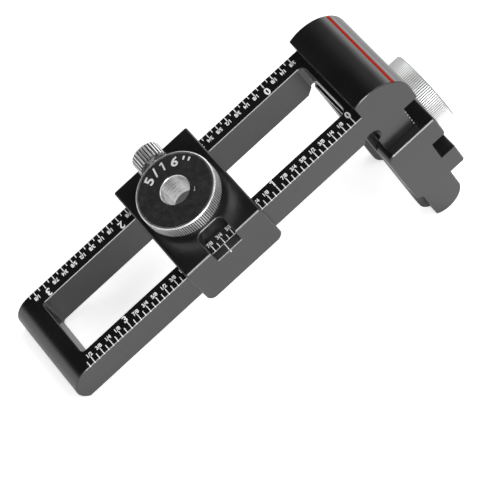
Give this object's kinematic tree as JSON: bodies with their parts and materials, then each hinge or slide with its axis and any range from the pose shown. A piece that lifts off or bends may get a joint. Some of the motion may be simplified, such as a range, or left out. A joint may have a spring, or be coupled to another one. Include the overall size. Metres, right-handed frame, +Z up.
{
  "type": "cross dowel jig",
  "caption": "L-shaped drilling jig: two sliding carriages with guide bushes place crossing holes from an end face; leans on its nose and leg tips.",
  "frame": {"origin": "middle of the bounding box, on the surface that the jig leans on", "axes": "+Z up at rest, +X towards the head and leg along the lean, +Y across, away from the near rail"},
  "size_m": [0.124, 0.042, 0.0624],
  "materials": {
    "body_black": "satin black anodised aluminium",
    "carriage_black": "satin black anodised aluminium",
    "bush_steel": "turned and plated steel",
    "screw_steel": "turned and plated steel"
  },
  "bodies": {
    "body": {"jig_body": "body_black"},
    "drill_slider": {"drill_carriage": "carriage_black"},
    "drill_guide": {"drill_bush": "bush_steel"},
    "drill_lock": {"drill_lock_screw": "screw_steel"},
    "end_slider": {"end_carriage": "carriage_black"},
    "end_guide": {"end_bush": "bush_steel"},
    "end_lock": {"end_lock_screw": "screw_steel"}
  },
  "joints": [
    {"name": "drill_slide", "type": "slide", "parent": "body", "child": "drill_slider", "axis": [0.8907, 0, 0.4546], "range_m": [-0.0346, 0.034]},
    {"name": "drill_bush_turn", "type": "hinge", "parent": "drill_slider", "child": "drill_guide", "pos_m": [-0.01663, -0.00398, 0.03293], "axis": [-0.4546, 0, 0.8907], "continuous": true},
    {"name": "drill_lock_turn", "type": "hinge", "parent": "drill_slider", "child": "drill_lock", "pos_m": [-0.01527, 0.01602, 0.03025], "axis": [0, 1, 0], "continuous": true},
    {"name": "end_slide", "type": "slide", "parent": "body", "child": "end_slider", "axis": [-0.4546, 0, 0.8907], "range_m": [-0.0114, 0.0081]},
    {"name": "end_bush_turn", "type": "hinge", "parent": "end_slider", "child": "end_guide", "pos_m": [0.0484, -0.00398, 0.03008], "axis": [0.8907, 0, 0.4546], "continuous": true},
    {"name": "end_lock_turn", "type": "hinge", "parent": "end_slider", "child": "end_lock", "pos_m": [0.04573, 0.01602, 0.02871], "axis": [0, 1, 0], "continuous": true}
  ]
}
